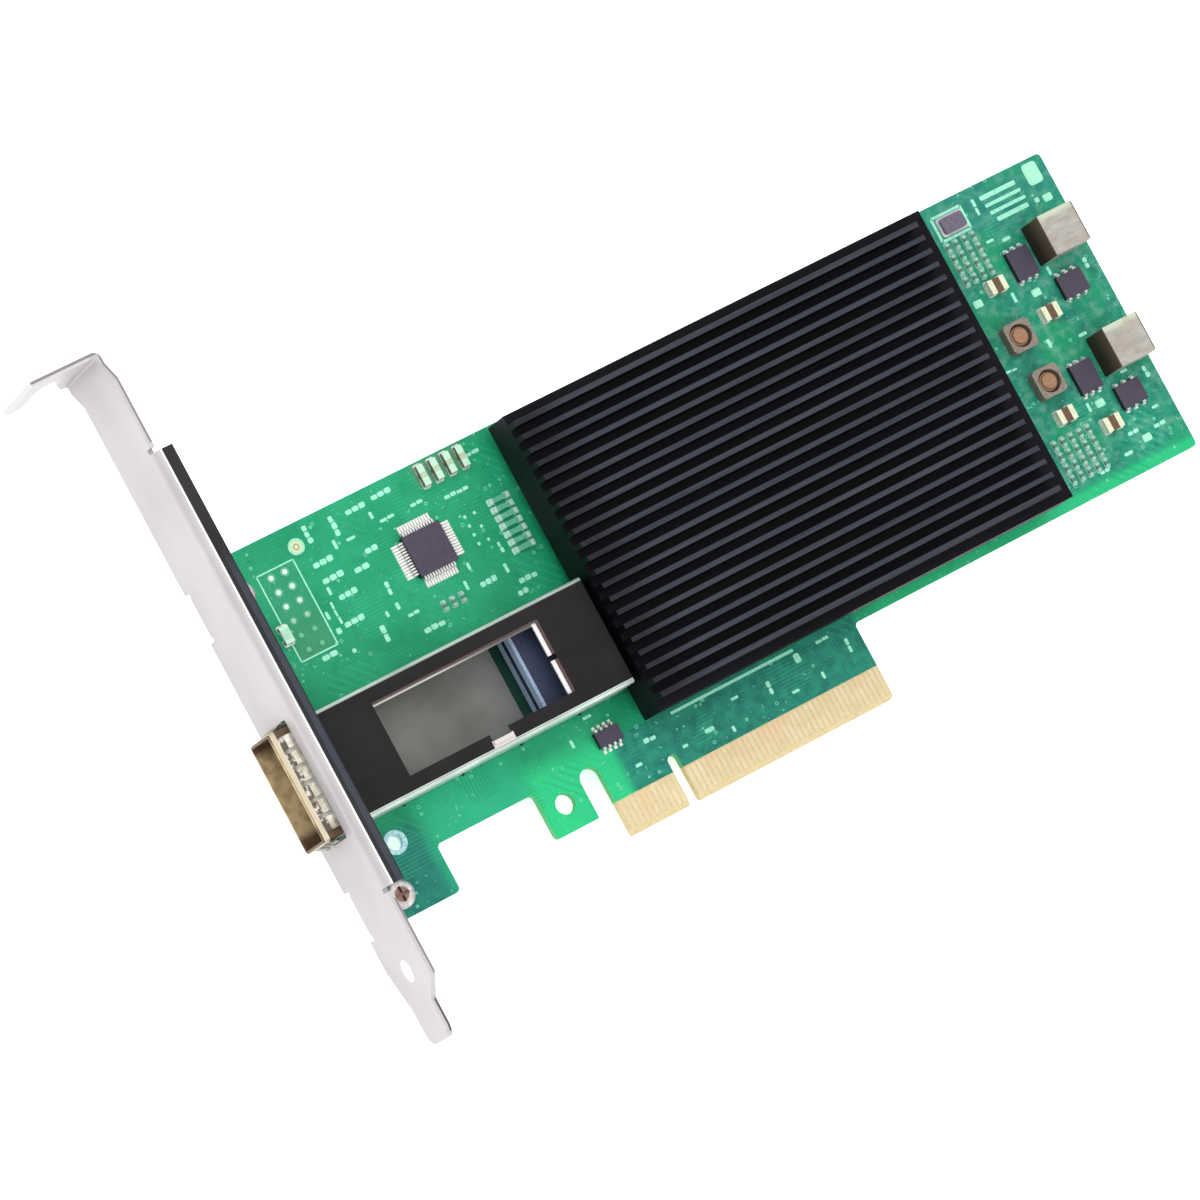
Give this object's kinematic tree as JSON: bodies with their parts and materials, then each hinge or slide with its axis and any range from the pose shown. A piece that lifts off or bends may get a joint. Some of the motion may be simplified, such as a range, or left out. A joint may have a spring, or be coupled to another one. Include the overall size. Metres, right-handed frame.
{
  "type": "network interface card",
  "caption": "Add-in network card with a folded mounting bracket, a single metal port cage, a black finned heat sink and a gold edge connector.",
  "frame": {"origin": "on the outer face of the bracket, level with the component side of the board and with the lower edge of the edge connector", "axes": "+X runs along the board away from the bracket, +Y up the board from the edge connector, +Z out of the component side"},
  "size_m": [0.1791, 0.12, 0.0208],
  "materials": {
    "solder_mask": "green solder mask over glass laminate, satin gloss",
    "gold": "thin gold plating on copper",
    "solder": "bright solder and tin plating",
    "bracket_steel": "plated sheet steel, pale satin finish",
    "screw_steel": "plated steel",
    "cage_metal": null,
    "spring_metal": "bright spring sheet",
    "connector_plastic": "dark moulded plastic",
    "sink_black": "black anodised aluminium",
    "pad_grey": "soft grey heat-conducting pad",
    "lid_metal": "bright metal can",
    "substrate_green": "green laminate",
    "chip_plastic": "black moulded epoxy",
    "ferrite": "dark ferrite",
    "strap_metal": "tinned copper strap",
    "winding": "enamelled copper wire",
    "capacitor_brown": "brown ceramic",
    "cream_ends": "tinned metal ends",
    "resistor_glaze": "glazed film",
    "lamp_resin": "clear pale resin",
    "crystal_base": "grey ceramic"
  },
  "bodies": {
    "root": {"circuit_board": "solder_mask", "edge_contacts_front": "gold", "edge_contacts_back": "gold", "plated_rings": "solder", "bracket": "bracket_steel", "bracket_screws": "screw_steel", "port_cage": "cage_metal", "cage_spring_collar": "spring_metal", "port_connector": "connector_plastic", "upper_port_contacts": "gold", "lower_port_contacts": "gold", "heat_sink": "sink_black", "heat_sink_screws": "screw_steel", "thermal_pad": "pad_grey", "controller_lid": "lid_metal", "controller_substrate": "substrate_green", "controller_solder_balls": "solder", "microcontroller": "chip_plastic", "microcontroller_leads": "solder", "regulator": "chip_plastic", "regulator_leads": "solder", "memory_chip": "chip_plastic", "memory_chip_leads": "solder", "power_switches": "chip_plastic", "power_switch_leads": "solder", "power_inductor_cores": "ferrite", "power_inductor_straps": "strap_metal", "filter_inductor_shields": "ferrite", "filter_inductor_windings": "winding", "filter_inductor_drums": "ferrite", "row_capacitor_bodies": "capacitor_brown", "row_capacitor_ends": "cream_ends", "supply_capacitor_bodies": "capacitor_brown", "supply_capacitor_ends": "cream_ends", "bypass_capacitor_bodies": "capacitor_brown", "bypass_capacitor_ends": "cream_ends", "resistor_bodies": "resistor_glaze", "resistor_ends": "cream_ends", "back_capacitor_bodies": "capacitor_brown", "back_capacitor_ends": "cream_ends", "status_lamp": "lamp_resin", "status_lamp_ends": "cream_ends", "clock_crystal_base": "crystal_base", "clock_crystal_can": "lid_metal"}
  },
  "joints": []
}
